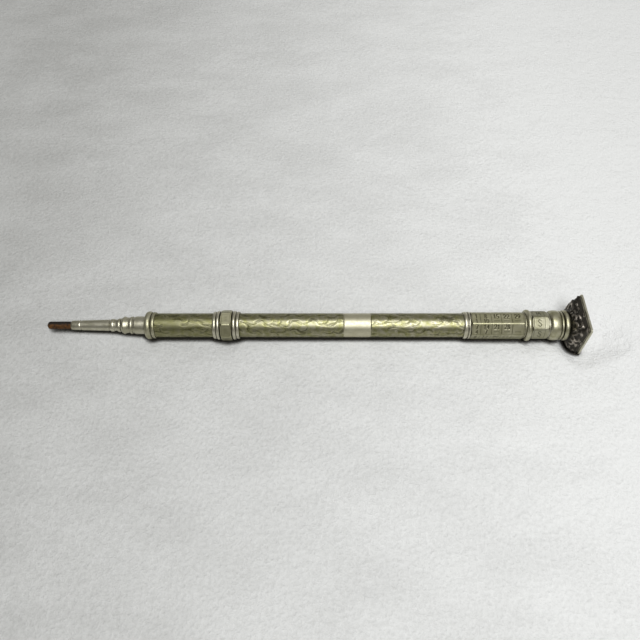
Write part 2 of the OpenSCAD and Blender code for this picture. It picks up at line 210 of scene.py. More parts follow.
def smooth(piece, angle):
    """Shades a piece smooth, but keeps edges sharper than the angle, in degrees."""
    piece.data.polygons.foreach_set("use_smooth", [True] * len(piece.data.polygons))
    piece.data.set_sharp_from_angle(angle=math.radians(angle))
    piece.data.update()


# ---- Materials ----


class Paint:
    """A small helper for building a node material."""

    def __init__(self, name):
        self.material = bpy.data.materials.new(name)
        self.material.use_nodes = True
        self.tree = self.material.node_tree
        self.surface = self.tree.nodes["Principled BSDF"]
        place = self.add("ShaderNodeTexCoord")
        scale = self.add("ShaderNodeMapping")
        scale.inputs["Scale"].default_value = (1 / MM, 1 / MM, 1 / MM)
        self.link(place.outputs["Object"], scale.inputs["Vector"])
        self.place = scale.outputs["Vector"]

    def add(self, kind, **settings):
        node = self.tree.nodes.new(kind)
        for key, value in settings.items():
            setattr(node, key, value)
        return node

    def link(self, a, b):
        self.tree.links.new(a, b)

    def stretched(self, scale):
        """The place on the piece, stretched by three factors."""
        node = self.add("ShaderNodeMapping")
        node.inputs["Scale"].default_value = scale
        self.link(self.place, node.inputs["Vector"])
        return node.outputs["Vector"]

    def noise(self, scale, detail=4.0, rough=0.6, stretch=None):
        """Cloudy noise; a higher scale makes it finer."""
        node = self.add("ShaderNodeTexNoise")
        node.inputs["Scale"].default_value = scale
        node.inputs["Detail"].default_value = detail
        node.inputs["Roughness"].default_value = rough
        self.link(self.stretched(stretch) if stretch else self.place, node.inputs["Vector"])
        return node.outputs["Fac"]

    def ramp(self, source, low, high, out_low=0.0, out_high=1.0):
        """Maps low to out_low and high to out_high, and holds still beyond them."""
        node = self.add("ShaderNodeMapRange", clamp=True)
        for key, value in (
            ("From Min", low),
            ("From Max", high),
            ("To Min", out_low),
            ("To Max", out_high),
        ):
            node.inputs[key].default_value = value
        self.link(source, node.inputs["Value"])
        return node.outputs["Result"]

    def math(self, operation, a, b):
        """A sum, product or other operation on numbers or sockets."""
        node = self.add("ShaderNodeMath", operation=operation)
        for socket, value in zip(node.inputs, (a, b)):
            if isinstance(value, (int, float)):
                socket.default_value = value
            else:
                self.link(value, socket)
        return node.outputs[0]

    def mix(self, factor, a, b):
        """Colour a where the factor is 0 and colour b where it is 1."""
        node = self.add("ShaderNodeMix", data_type="RGBA")
        self.link(factor, node.inputs["Factor"])
        for socket, value in ((node.inputs[6], a), (node.inputs[7], b)):
            if isinstance(value, tuple):
                socket.default_value = (*value, 1)
            else:
                self.link(value, socket)
        return node.outputs[2]

    def attribute(self, name):
        """The numbers that store() kept under a name."""
        return self.add("ShaderNodeAttribute", attribute_name=name).outputs["Fac"]

    def crevice(self, distance):
        """1 on open surface, falling to 0 in grooves and corners."""
        node = self.add("ShaderNodeAmbientOcclusion", samples=8)
        node.inputs["Distance"].default_value = distance * MM
        return node.outputs["AO"]

    def bump(self, source, distance, strength=1.0):
        """Roughens the surface by a pattern, up to a distance in millimetres."""
        node = self.add("ShaderNodeBump")
        node.inputs["Distance"].default_value = distance * MM
        node.inputs["Strength"].default_value = strength
        self.link(source, node.inputs["Height"])
        self.link(node.outputs["Normal"], self.surface.inputs["Normal"])

    def finish(self, color, roughness, metallic=1.0):
        """Sets the surface from colours, numbers or sockets, and gives the material."""
        for name, value in (
            ("Base Color", color),
            ("Roughness", roughness),
            ("Metallic", metallic),
        ):
            socket = self.surface.inputs[name]
            if isinstance(value, tuple):
                socket.default_value = (*value, 1)
            elif isinstance(value, (int, float)):
                socket.default_value = value
            else:
                self.link(value, socket)
        return self.material


def nickel(name, bright, dull, darkening, roughness, carved, patch_scale=0.35):
    """Nickel silver with patchy tarnish. Its cuts are darkened by grime, and its grooves and
    corners partly by grime and partly by painted shade.

    A carved piece reads its cuts from "open", and is more tarnished towards the point.
    """
    p = Paint(name)
    patches = p.ramp(p.noise(patch_scale, 5, 0.65), 0.36, 0.64)
    if carved:
        where = p.add("ShaderNodeSeparateXYZ")
        p.link(p.place, where.inputs[0])
        cleaner = p.ramp(where.outputs["X"], -42, 5, 0.4, 1.0)
        patches = p.math("MULTIPLY", patches, cleaner)
    color = p.mix(patches, dull, bright)
    # Partly grime and partly painted shade: an occlusion ramp darkens grooves, corners between
    # parts and the underside where the pencil lies in the cloth.
    clean_and_unshaded = p.ramp(p.crevice(0.8), 0.5, 0.9)
    if carved:
        clean_and_unshaded = p.math("MULTIPLY", clean_and_unshaded, p.attribute("open"))
    # One dark colour paints both the grime in the cuts and the painted shade in the crevices.
    color = p.mix(clean_and_unshaded, darkening, color)
    grain = p.noise(2.2, 5, 0.65)
    rough = p.ramp(grain, 0.3, 0.7, roughness - 0.05, roughness + 0.1)
    p.bump(p.math("ADD", grain, p.noise(0.6, 3)), 0.022, 0.3)
    return p.finish(color, rough)


def rust(name):
    """Rusted steel, with painted shade making its upper and back side nearly black."""
    p = Paint(name)
    spots = p.ramp(p.noise(1.4, 5, 0.7), 0.4, 0.6)
    color = p.mix(spots, (0.026, 0.012, 0.004), (0.115, 0.048, 0.010))
    place = p.add("ShaderNodeSeparateXYZ")
    p.link(p.place, place.inputs[0])
    # Painted shade: the side away from the viewer, up to a noisy edge, is mixed to near-black.
    back = p.math("ADD", place.outputs["Y"], p.ramp(p.noise(0.9, 4), 0.3, 0.7, -0.25, 0.25))
    color = p.mix(p.ramp(back, -0.42, -0.08), color, (0.014, 0.010, 0.007))
    p.bump(p.noise(5, 6, 0.7), 0.06, 0.6)
    p.surface.inputs["Specular IOR Level"].default_value = 0.25
    return p.finish(color, 0.6, 0.15)


def dark_seal(name):
    """Oxidised relief whose high places are worn bright."""
    p = Paint(name)
    worn = p.math("MULTIPLY", p.attribute("high"), p.ramp(p.noise(0.6, 4), 0.35, 0.6))
    color = p.mix(p.ramp(worn, 0.15, 0.8), (0.05, 0.046, 0.038), (0.38, 0.34, 0.29))
    p.bump(p.noise(4, 5, 0.6), 0.05, 0.5)
    return p.finish(color, p.ramp(worn, 0.1, 0.8, 0.45, 0.3))


def plain(name, color, roughness, metallic):
    """One colour with a faint grain."""
    p = Paint(name)
    grain = p.noise(3, 4)
    p.bump(grain, 0.02, 0.3)
    shade = p.mix(p.ramp(grain, 0.3, 0.7), tuple(0.75 * c for c in color), color)
    return p.finish(shade, roughness, metallic)


engraved_metal = nickel(
    "engraved nickel silver",
    bright=(0.46, 0.437, 0.325), dull=(0.29, 0.284, 0.125), darkening=(0.045, 0.043, 0.015),
    roughness=0.37, carved=True, patch_scale=0.8,
)
lettered_metal = nickel(
    "lettered nickel silver",
    bright=(0.45, 0.43, 0.30), dull=(0.32, 0.308, 0.185), darkening=(0.035, 0.032, 0.015),
    roughness=0.40, carved=True,
)
polished_metal = nickel(
    "polished nickel silver",
    bright=(0.60, 0.575, 0.46), dull=(0.44, 0.42, 0.31), darkening=(0.05, 0.042, 0.025),
    roughness=0.34, carved=False,
)
band_metal = nickel(
    "plain band",
    bright=(0.56, 0.535, 0.405), dull=(0.47, 0.445, 0.315), darkening=(0.10, 0.08, 0.05),
    roughness=0.45, carved=False,
)
weekday_metal = nickel(
    "worn nickel silver",
    bright=(0.40, 0.385, 0.29), dull=(0.27, 0.26, 0.165), darkening=(0.04, 0.037, 0.02),
    roughness=0.46, carved=True,
)
tarnished_metal = nickel(
    "tarnished nickel silver",
    bright=(0.50, 0.48, 0.36), dull=(0.32, 0.305, 0.19), darkening=(0.04, 0.035, 0.018),
    roughness=0.40, carved=False, patch_scale=0.6,
)
rust_metal = rust("rusted steel")
seal_metal = dark_seal("oxidised relief")
stone_finish = plain("dark hardstone", (0.10, 0.06, 0.05), 0.12, 0.0)
brass_metal = plain("drawn brass", (0.62, 0.47, 0.24), 0.3, 1.0)
steel_metal = plain("spring steel", (0.42, 0.42, 0.43), 0.35, 1.0)
graphite_finish = plain("graphite", (0.06, 0.06, 0.065), 0.45, 0.3)

FINISHES = {
    "engraved_nickel": engraved_metal,
    "polished_nickel": polished_metal,
    "rusty_steel": rust_metal,
    "dark_seal": seal_metal,
    "hardstone": stone_finish,
    "inner_brass": brass_metal,
    "spring_steel": steel_metal,
    "graphite": graphite_finish,
}

for entry in frame["record"]["subparts"]:
    piece = NODES[entry["node"]]
    piece.data.materials.clear()
    piece.data.materials.append(FINISHES[entry["material_slot"]])


TARNISHED = ("finial", "stop_ring", "mouth_ring")

for node in TARNISHED:
    NODES[node].data.materials[0] = tarnished_metal


# ---- Engraved barrel ----

BARREL_R = reach("barrel")
BARREL_BORE = radii("barrel")[0]
BARREL_STEP = 0.085
MOUTH_X = span("mouth_ring")[0]
BAND_FROM_MOUTH = 49.2
BAND_LEN = 6.7
BAND_DEPTH = 0.04
BAND_EDGE_DEPTH = 0.06
CUT_DEPTH = 0.045
SPRAY_ROWS = 8
HATCH_GAP = 0.34
HATCH_ANGLE = 0.72
SLOT_ANGLE = math.radians(238.5)
SLOT_W = 1.5
SLOT_PLAY = 0.1
LUG_ENDS = span("slider_lug")


def engraving(length, width):
    """The barrel's cuts and its dirt: leafy sprays over a hatched ground."""
    rng = np.random.default_rng(7)
    leaves, lines, hatch = (Relief(length, width, BARREL_STEP, wraps=True) for _ in range(3))
    for row in range(SPRAY_ROWS):
        u = -3.0
        while u < length + 3:
            v = (row + 0.5) * width / SPRAY_ROWS + rng.uniform(-0.5, 0.5)
            side = rng.choice([-1, 1])
            heading = side * rng.uniform(0.25, 0.8) + (math.pi if rng.random() < 0.3 else 0)
            spray(leaves, lines, rng, u, v, heading, -side)
            u += rng.uniform(1.7, 2.7)
    for k in range(int((length + width) / HATCH_GAP)):
        line = arc(HATCH_GAP * k - width, 0, HATCH_ANGLE, width / math.sin(HATCH_ANGLE), 0.0)
        hatch.stroke(line, 0.11, 1, 0)
    bodies = leaves.heights()
    ground = 1 - np.clip(2.2 * bodies, 0, 1)
    shading = hatch.heights() * ground
    drawn = lines.heights()
    cut = np.maximum(drawn, 0.55 * CUT_DEPTH * shading)
    cut = np.maximum(cut, 0.65 * CUT_DEPTH * bodies)
    darkening = np.maximum(1.15 * drawn / CUT_DEPTH, 0.5 * shading + 0.12 * ground)
    return cut, darkening


def spray(leaves, lines, rng, u, v, heading, side):
    """One curling stem with a leaf on each side of every joint."""
    stem = arc(u, v, heading, rng.uniform(3.0, 4.6), side * rng.uniform(1.4, 2.8), 1.5)
    lines.stroke(stem, 0.11, CUT_DEPTH)
    for k in range(1, 22, 3):
        along = math.atan2(*(stem[k + 1] - stem[k])[::-1])
        for way in (-1, 1):
            size = rng.uniform(0.9, 1.7) * (1 - 0.018 * k)
            turn = -way * rng.uniform(0.6, 1.4)
            start = along + way * rng.uniform(0.5, 0.9)
            leaves.stroke(arc(*stem[k], start, size, turn), rng.uniform(0.24, 0.36), 1, 0.8)
            lines.stroke(arc(*stem[k], start, 0.9 * size, turn), 0.105, CUT_DEPTH)


def barrel():
    """The engraved tube, with its plain band and the slot that the slider's lug runs in."""
    x0, x1 = span("barrel")
    length = x1 - x0
    width = 2 * math.pi * BARREL_R
    sheet = Relief(length, width, BARREL_STEP, wraps=True)
    cut, darkening = engraving(length, width)
    x = x0 + np.arange(sheet.nu) * sheet.du
    band0 = MOUTH_X + BAND_FROM_MOUTH
    band1 = band0 + BAND_LEN
    on_band = (x > band0) & (x < band1)
    cut[on_band] = 0
    darkening[on_band] = 0
    for edge in (band0, band1):
        cut[np.abs(x - edge) < 0.6 * sheet.du] = BAND_EDGE_DEPTH
    angle = np.arange(sheet.nv) * sheet.dv / BARREL_R
    r = BARREL_R - cut - BAND_DEPTH * on_band[:, None]
    outer = around(x[:, None], r * np.cos(angle), r * np.sin(angle))
    verts, faces = closed_shell(outer, BARREL_BORE)
    piece = mesh_object(
        "engraved_barrel", verts, faces, "barrel", "engraved_nickel",
        engraved_metal, band_metal,
    )
    openness = np.clip(1 - darkening, 0, 1)
    store(piece, "open", np.pad(openness, ((1, 1), (0, 0)), constant_values=0.3))
    middle = 0.5 * (x[:-1] + x[1:])
    rows = np.zeros(sheet.nu + 2, int)
    rows[1 : sheet.nu] = (middle > band0) & (middle < band1)
    piece.data.polygons.foreach_set("material_index", np.repeat(rows, sheet.nv))
    slide = next(joint for joint in frame["joints"] if joint["name"] == "nozzle_slide")
    slot0 = LUG_ENDS[0] - SLOT_PLAY
    slot1 = LUG_ENDS[1] + slide["range_m"][1] / MM + SLOT_PLAY
    cut_slot(piece, slot0, slot1, SLOT_W, BARREL_BORE - 0.6, BARREL_R + 1)
    smooth(piece, 60)
    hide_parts("barrel")


def slot_outline(x0, x1, half):
    """A slot with round ends, as points along the pencil and across the slot."""
    outline = []
    for centre, start in ((x1 - half, -90), (x0 + half, 90)):
        for k in range(13):
            a = math.radians(start + 15 * k)
            outline.append((centre + half * math.cos(a), half * math.sin(a)))
    return outline


def cut_slot(piece, x0, x1, width, low, high):
    """Cuts a slot between two heights above the axis, on the side away from the viewer."""
    outline = slot_outline(x0, x1, width / 2)
    out = np.array([0, -math.cos(SLOT_ANGLE), math.sin(SLOT_ANGLE)])
    side = np.array([0, math.sin(SLOT_ANGLE), math.cos(SLOT_ANGLE)])
    verts = [
        np.array([x, 0, 0]) + s * side + height * out
        for height in (low, high)
        for x, s in outline
    ]
    n = len(outline)
    faces = [[k, (k + 1) % n, n + (k + 1) % n, n + k] for k in range(n)]
    faces += [list(range(n))[::-1], list(range(n, 2 * n))]
    cut_away(piece, verts, faces)


def cut_away(piece, verts, faces):
    """Cuts a closed solid, given by its vertices in millimetres, out of a piece."""
    mesh = bpy.data.meshes.new("slot")
    mesh.from_pydata((np.array(verts) * MM).tolist(), [], faces)
    cutter = bpy.data.objects.new("slot", mesh)
    bpy.context.scene.collection.objects.link(cutter)
    hole = piece.modifiers.new("slot", "BOOLEAN")
    hole.object = cutter
    hole.operation = "DIFFERENCE"
    hole.solver = "EXACT"
    settle(piece)
    bpy.data.objects.remove(cutter)


def settle(piece):
    """Applies a piece's modifiers, so that its mesh holds its final shape."""
    bpy.context.view_layer.update()
    done = piece.evaluated_get(bpy.context.evaluated_depsgraph_get())
    mesh = bpy.data.meshes.new_from_object(done)
    piece.modifiers.clear()
    piece.data = mesh


barrel()

# ---- Engraved figures ----

# Each figure is drawn with straight strokes on a box 2 wide and 4 high.
GLYPHS = {
    "0": [[(0.6, 0), (1.4, 0), (2, 1), (2, 3), (1.4, 4), (0.6, 4), (0, 3), (0, 1), (0.6, 0)]],
    "1": [[(0.4, 3.2), (1.1, 4), (1.1, 0)]],
    "2": [[(0, 3.1), (0.5, 4), (1.5, 4), (2, 3.1), (1.8, 2.2), (0, 0), (2, 0)]],
    "3": [[(0, 3.8), (1.6, 4), (1.9, 3), (0.9, 2.2), (2, 1.4), (1.6, 0.1), (0, 0.2)]],
    "4": [[(1.5, 0), (1.5, 4), (0, 1.3), (2, 1.3)]],
    "5": [[(1.9, 4), (0.2, 4), (0.1, 2.3), (1.4, 2.5), (2, 1.4), (1.5, 0.1), (0, 0.2)]],
    "6": [[(1.7, 4), (0.4, 2.7), (0, 1.2), (0.6, 0), (1.5, 0), (2, 1.1), (1.4, 2.1), (0.1, 1.5)]],
    "7": [[(0, 4), (2, 4), (0.8, 0)]],
    "8": [[(1, 2.2), (0.2, 3), (0.5, 4), (1.5, 4), (1.8, 3), (1, 2.2)],
          [(1, 2.2), (0, 1.2), (0.4, 0), (1.6, 0), (2, 1.2), (1, 2.2)]],
    "9": [[(0.3, 0), (1.6, 1.3), (2, 2.8), (1.4, 4), (0.5, 4), (0, 2.9), (0.6, 1.9), (1.9, 2.5)]],
    "S": [[(1.9, 3.3), (1.3, 4), (0.5, 4), (0.1, 3.1), (0.6, 2.3), (1.5, 1.8), (2, 1),
           (1.5, 0), (0.6, 0), (0, 0.7)]],
    "M": [[(0, 0), (0.2, 4), (1.1, 1.4), (2, 4), (2.2, 0)]],
    "T": [[(0, 4), (2.2, 4)], [(1.1, 4), (1.1, 0)]],
    "W": [[(0, 4), (0.5, 0), (1.2, 2.8), (1.9, 0), (2.4, 4)]],
    "F": [[(0.2, 0), (0.2, 4), (2, 4)], [(0.2, 2.1), (1.5, 2.1)]],
}


def engrave(sheet, text, u, v, height, half, depth):
    """Cuts a word with its middle at u, v; it reads along the pencil."""
    scale = height / 4
    advance = 2.9 * scale
    left = u - 0.5 * (advance * (len(text) - 1) + 2 * scale)
    for k, letter in enumerate(text):
        for line in GLYPHS[letter]:
            points = [(left + k * advance + scale * x, v + scale * (y - 2)) for x, y in line]
            sheet.stroke(points, half, depth, 0)


def box_line(sheet, u0, u1, v0, v1, half, depth):
    """Cuts a rectangle's outline."""
    for a, b in (
        ((u0, v0), (u1, v0)),
        ((u1, v0), (u1, v1)),
        ((u1, v1), (u0, v1)),
        ((u0, v1), (u0, v0)),
    ):
        sheet.stroke([a, b], half, depth, 0)


FIGURE_DEPTH = 0.06
WORN = 0.07


def seven_sided(name, node, corner, rim, carve, metal, step=0.065):
    """A seven-sided ring: each face is a sheet carved by carve(sheet, face, length, width).

    corner is the direction of the first edge, in degrees up from the viewer's side. rim(u)
    is the largest radius allowed at a station counted from the ring's front end, which
    rounds off or turns down its ends; the edges between the faces are worn down below it.
    """
    x0, x1 = span(node)
    length = x1 - x0
    bore, radius = radii(node)
    apothem = radius * math.cos(FACET / 2)
    half_width = apothem * math.tan(FACET / 2)
    depths = []
    for face in range(DAYS):
        sheet = Relief(length, 2 * half_width, step)
        carve(sheet, face, length, 2 * half_width)
        depths.append(sheet.heights()[:, :-1])
    u = np.arange(sheet.nu) * sheet.du
    w = np.arange(sheet.cols) * sheet.dv - half_width
    limit = np.array([rim(a) - WORN for a in u])[:, None]
    strips = []
    for face in range(DAYS):
        middle = math.radians(corner) + FACET * (face + 0.5)
        r = np.minimum(np.hypot(apothem - depths[face], w), limit)
        angle = middle + np.arctan2(w, apothem)
        strips.append(around(x0 + u[:, None], r * np.cos(angle), r * np.sin(angle)))
    outer = np.concatenate(strips, axis=1)
    verts, faces = closed_shell(outer, bore)
    body = NODES[node]["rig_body"]
    piece = mesh_object(name, verts, faces, body, "engraved_nickel", metal)
    openness = np.clip(1 - np.concatenate(depths, axis=1) / FIGURE_DEPTH, 0, 1)
    store(piece, "open", np.pad(openness, ((1, 1), (0, 0)), constant_values=0.5))
    smooth(piece, 38)
    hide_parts(node)
    return piece


def eased(node, drop, run):
    """A rim that falls away by drop over the last run of each end of a node."""
    x0, x1 = span(node)
    length = x1 - x0
    radius = radii(node)[1]
    return lambda u: radius - drop * max(0, 1 - min(u, length - u) / run) ** 2


# ---- Calendar sleeve: dates above, months below ----

CALENDAR_CORNER = 63
CELL_ENDS = (2.2, 4.9, 7.3, 9.9)
LAST_DATE = 31
# Months whose first day falls on the same weekday share a face.
MONTHS = (("1", "10"), ("5",), ("8",), ("2", "3", "11"), ("6",), ("9", "12"), ("4", "7"))


def carve_calendar(sheet, face, length, width):
    """Five cells: dates a week apart in one row, and months or a flourish in the other."""
    border = 0.22
    edges = (0.3, *CELL_ENDS, length - 0.35)
    for u in CELL_ENDS:
        sheet.stroke([(u, border), (u, width - border)], 0.1, 0.05, 0)
    box_line(sheet, edges[0], edges[-1], border, width - border, 0.09, 0.04)
    months = MONTHS[face]
    for cell in range(5):
        middle = 0.5 * (edges[cell] + edges[cell + 1])
        date = face + 1 + DAYS * cell
        if date <= LAST_DATE:
            engrave(sheet, str(date), middle, 0.71 * width, 1.05, 0.14, 0.08)
        if cell < len(months):
            engrave(sheet, months[cell], middle, 0.28 * width, 0.95, 0.13, 0.075)
        else:
            for k in range(5):
                u = middle - 0.6 + 0.3 * k
                v = 0.2 * width
                sheet.stroke(arc(u, v, 1.2, 0.62, 1.4), 0.09, 0.05)


seven_sided(
    "calendar_engraved", "calendar_sleeve", CALENDAR_CORNER,
    eased("calendar_sleeve", drop=0.3, run=0.35), carve_calendar, lettered_metal,
)

# ---- Weekday ring ----

WEEKDAY_CORNER = 40.6
WEEKDAYS = "SMTWTFS"


def carve_weekday(sheet, face, length, width):
    """One day's initial in a frame."""
    box_line(sheet, 0.45, length - 1.0, 0.3, width - 0.3, 0.11, 0.04)
    engrave(sheet, WEEKDAYS[face], 0.5 * length - 0.25, 0.5 * width, 1.6, 0.14, 0.06)


seven_sided(
    "weekday_engraved", "weekday_ring", WEEKDAY_CORNER,
    eased("weekday_ring", drop=0.25, run=0.5), carve_weekday, weekday_metal,
)

# ---- Slider nut ----

NUT_CORNER = 58.5
NUT_BORE, NUT_R = radii("slider_nut")
NUT_HUB_R = 3.22
# The nut stands on its hub from this station, counted from the hub's front end.
NUT_FROM = 1.8
NUT_LEN = 2.75
LUG_W = 1.4
LUG_TOP = 3.29
SCREW_HOLE_R = 0.82
FIT_GAP = 0.02


def carve_nut(sheet, face, length, width):
    """Shallow curls that fan out from the middle of a face, in a frame."""
    u0 = NUT_FROM
    box_line(sheet, u0 + 0.4, u0 + NUT_LEN - 0.4, 0.4, width - 0.4, 0.09, 0.018)
    middle = u0 + 0.5 * NUT_LEN
    for side in (-1, 1):
        for k in range(3):
            line = arc(middle, 0.5 * width, side * (0.5 + 0.5 * k), 0.9, 0.8)
            sheet.stroke(line, 0.09, 0.02)
            sheet.stroke(2 * np.array([middle, 0.5 * width]) - line, 0.09, 0.02)


def nut_rim(u):
    """A low hub under both ferrules, with the nut's arched ends standing on it."""
    inside = min(u - NUT_FROM, NUT_FROM + NUT_LEN - u)
    if inside < 0:
        return NUT_HUB_R
    return NUT_R - 0.36 * max(0, 1 - inside / 0.6) ** 2


def slider_nut():
    """The engraved nut, with a pocket for the lug's top and a hole for the screw's head."""
    nut = seven_sided(
        "nut_engraved", "slider_nut", NUT_CORNER, nut_rim, carve_nut, lettered_metal, step=0.05
    )
    lug0, lug1 = LUG_ENDS
    middle = 0.5 * (lug0 + lug1)
    hole0 = middle - SCREW_HOLE_R
    hole1 = middle + SCREW_HOLE_R
    cut_slot(nut, lug0 - FIT_GAP, lug1 + FIT_GAP, LUG_W + 2 * FIT_GAP, NUT_BORE - 0.2, LUG_TOP)
    cut_slot(nut, hole0, hole1, 2 * SCREW_HOLE_R, LUG_TOP - 0.01, NUT_R + 1)
    smooth(nut, 38)


slider_nut()

# ---- Seal ----

NECK_X = span("seal_flare")[0]
PLATE_X = span("seal_bezel")[0]
PLATE_HALF = reach("seal_bezel")
# Half diagonals of the plate and of its stone.
PLATE_R = PLATE_HALF * math.sqrt(2)
STONE_R = reach("seal_stone") * math.sqrt(2)
PLATE_SIDES = 240
PLATE_SQUARENESS = 18
SEAL_BORE = 1.62
SEAL_STEP = 0.08
# The distance from the axis at which the relief's sheet is wrapped without stretching.
SEAL_MEAN_R = 5.6
# How far the relief's ground lies under the flare's outline.
GROUND_DEPTH = 0.12
# The flare from its neck to its plate: share of its length, half diagonal, squareness.
FLARE = (
    (0, 3.62, 2.3),
    (0.17, 4.75, 2.8),
    (0.3, 5.45, 3.4),
    (0.5, 6.3, 5.0),
    (0.73, 6.95, 9.0),
    (0.9, 7.35, 14.0),
    (1.0, 7.5, 20.0),
)


def squarish(diagonal, power, angle):
    """Distance from the axis to a rounded square: power 2 is a circle, and more is squarer."""
    c = np.abs(np.cos(angle)) ** power
    s = np.abs(np.sin(angle)) ** power
    return diagonal * 2 ** (1 / power) / math.sqrt(2) / (c + s) ** (1 / power)


def carve_seal(sheet, length, width):
    """Raised scrolls and leaves, with a plain rim next to the plate."""
    rng = np.random.default_rng(11)
    for petal in range(8):
        v = (petal + 0.5) * width / 8
        for side in (-1, 1):
            sheet.stroke(arc(0.7, v, side * 0.35, 4.2, side * 4.0, 1.7), 0.42, 0.34, 0.5)
            sheet.stroke(arc(1.9, v + side * 1.1, side * 1.4, 2.6, -side * 3.8), 0.34, 0.3, 0.5)
            sheet.stroke(arc(3.4, v + side * 0.3, side * 0.9, 2.2, side * 3.2), 0.32, 0.3, 0.5)
            sheet.stroke(arc(4.5, v + side * 1.9, side * 1.7, 2.4, -side * 3.0), 0.3, 0.28, 0.5)
    for _ in range(60):
        u = rng.uniform(0.5, length - 0.4)
        v = rng.uniform(0, width)
        heading = rng.uniform(0, 2 * math.pi)
        turn = rng.choice([-1, 1]) * rng.uniform(1.5, 4.5)
        line = arc(u, v, heading, rng.uniform(0.8, 1.8), turn)
        sheet.stroke(line, rng.uniform(0.2, 0.32), rng.uniform(0.12, 0.26), 0.7)


def seal():
    """A flared square head: round at the neck, square at the plate, chased all over."""
    share, ridge_r, squareness = np.array(FLARE).T
    ridge_x = share * (PLATE_X - 0.01 - NECK_X)
    fine = np.linspace(0, ridge_x[-1], 400)
    steps = np.hypot(np.diff(fine), np.diff(np.interp(fine, ridge_x, ridge_r)))
    run = np.concatenate([[0], np.cumsum(steps)])
    length = run[-1]
    width = 2 * math.pi * SEAL_MEAN_R
    sheet = Relief(length, width, SEAL_STEP, wraps=True)
    carve_seal(sheet, length, width)
    u = np.arange(sheet.nu) * sheet.du
    fade = np.clip((length - 0.1 - u) / 0.3, 0, 1) * np.clip((u - 0.1) / 0.4, 0, 1)
    height = sheet.heights(round_top=True) * fade[:, None]
    x = np.interp(u, run, fine)
    angle = (np.arange(sheet.nv) * sheet.dv / SEAL_MEAN_R)[None, :]
    diagonal = np.interp(x, ridge_x, ridge_r)[:, None]
    r = squarish(diagonal, np.interp(x, ridge_x, squareness)[:, None], angle)
    slope = np.gradient(r, axis=0) / np.gradient(x)[:, None]
    lift = (height - GROUND_DEPTH) / np.sqrt(1 + slope**2)
    out_r = r + lift
    out_x = np.clip(x[:, None] - lift * slope * 0.8, 0, ridge_x[-1])
    outer = around(NECK_X + out_x, out_r * np.cos(angle), out_r * np.sin(angle))
    verts, faces = closed_shell(outer, SEAL_BORE)
    piece = mesh_object("chased_seal", verts, faces, "cap", "dark_seal", seal_metal)
    store(piece, "high", np.pad(height / 0.3, ((1, 1), (0, 0))))
    smooth(piece, 50)
    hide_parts("seal_flare")


seal()


def square_plate(name, node, profile, slot, metal):
    """A square plate with softened corners, from rows of (station, half diagonal)."""
    x0 = span(node)[0]
    angle = np.arange(PLATE_SIDES) * 2 * math.pi / PLATE_SIDES
    unit = squarish(1, PLATE_SQUARENESS, angle)
    rows = [around(x0 + x, r * unit * np.cos(angle), r * unit * np.sin(angle)) for x, r in profile]
    faces = []
    for i in range(len(rows) - 1):
        for j in range(PLATE_SIDES):
            k = (j + 1) % PLATE_SIDES
            a, b = i * PLATE_SIDES, (i + 1) * PLATE_SIDES
            faces.append((a + j, b + j, b + k, a + k))
    last = (len(rows) - 1) * PLATE_SIDES
    faces.append(tuple(range(PLATE_SIDES)))
    faces.append(tuple(range(last + PLATE_SIDES - 1, last - 1, -1)))
    piece = mesh_object(name, np.concatenate(rows), faces, "cap", slot, metal)
    smooth(piece, 30)
    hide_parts(node)


square_plate(
    "seal_plate", "seal_bezel",
    (
        (0, 0.945 * PLATE_R), (0.16, 0.945 * PLATE_R), (0.24, 0.985 * PLATE_R),
        (0.3, PLATE_R), (0.66, PLATE_R), (0.73, 0.992 * PLATE_R), (0.75, 0.98 * PLATE_R),
        (0.75, STONE_R + 0.02), (0.34, STONE_R + 0.02),
    ),
    "polished_nickel", polished_metal,
)
square_plate(
    "seal_gem", "seal_stone",
    ((0, STONE_R), (0.38, STONE_R), (0.48, STONE_R - 0.16), (0.5, STONE_R - 0.24)),
    "hardstone", stone_finish,
)

# ---- Stage ----

CLOTH_POINTS = 420
CLOTH_LEVEL = -2.8
SINK = 0.3
# How wide the pencil lies at each station, to either side, counted from the barrel's mouth.
OUTLINE = (
    (-40, 3.1), (-25, 2.2), (-18, 1.6), (-9.3, 1.75), (-3, 2.1), (-0.4, 2.3), (0, 3.5), (1.6, 3.5),
    (2.6, 3.02), (16.4, 3.02), (16.9, 3.5), (18.7, 3.9), (21.5, 3.9), (23.3, 3.4), (23.7, 3.02),
    (78.4, 3.02), (78.8, 3.4), (93.2, 3.5), (93.6, 3.9), (95.2, 3.9), (100, 3.8), (103.4, 4.4),
    (105.5, 8.0), (108.6, 8.2), (112, 6.4), (122, 3.1),
)


def cloth_finish():
    """Pale mottled cloth, with a painted light falloff that darkens it to the left and a painted
    contact shadow where the pencil touches it.
    """
    p = Paint("cloth")
    weave = p.noise(1.2, 5, 0.7)
    p.bump(p.math("ADD", weave, p.noise(0.3, 3, 0.5)), 0.7, 0.75)
    where = p.add("ShaderNodeSeparateXYZ")
    p.link(p.place, where.inputs[0])
    # Painted light falloff: the cloth grows darker towards the left, as if lit from the right.
    across = p.ramp(where.outputs["X"], -85, 75, 0, 0.92)
    creases = p.ramp(p.noise(0.045, 3, 0.5, (1, 1.9, 1)), 0.35, 0.65, -0.05, 0.08)
    mottled = p.math("ADD", p.ramp(weave, 0.35, 0.65, 0, 0.2), creases)
    tone = p.math("ADD", across, mottled)
    color = p.mix(tone, (0.467, 0.467, 0.450), (0.93, 0.935, 0.92))
    # Painted contact shadow: an occlusion ramp mixes the cloth to near-black close to the pencil.
    painted_shadow_mask = p.ramp(p.crevice(1.5), 0.56, 0.9)
    return p.finish(p.mix(painted_shadow_mask, (0.03, 0.027, 0.02), color), 0.95, 0.0)


